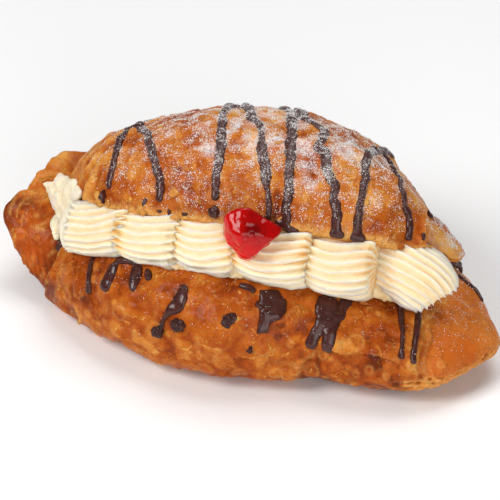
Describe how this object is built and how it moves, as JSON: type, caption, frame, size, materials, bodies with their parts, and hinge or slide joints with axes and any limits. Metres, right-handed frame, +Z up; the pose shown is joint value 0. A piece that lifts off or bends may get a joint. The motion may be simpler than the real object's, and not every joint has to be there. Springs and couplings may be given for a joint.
{
  "type": "cream danish pastry",
  "caption": "Long folded Danish pastry, slit along its front and filled with a rope of star-piped cream shells, with chocolate drizzle, icing sugar and a piece of glazed cherry.",
  "frame": {"origin": "middle of the box of the whole pastry, on the underside it rests on", "axes": "+X along the pastry from its turned-up left corner to its right corner, -Y towards the open front with the cream, +Z up"},
  "size_m": [0.167, 0.0864, 0.0711],
  "materials": {
    "crust": "golden to amber baked puff dough, egg-washed, satin with glossier blisters",
    "cream": "whipped cream, pale ivory, soft sheen",
    "cherry": "glazed cherry, translucent red, wet gloss",
    "chocolate": "dark chocolate drizzle, set, soft gloss",
    "sugar": "icing sugar, matt white"
  },
  "bodies": {
    "root": {"pastry": "crust", "cream": "cream", "cherry": "cherry"}
  },
  "joints": []
}
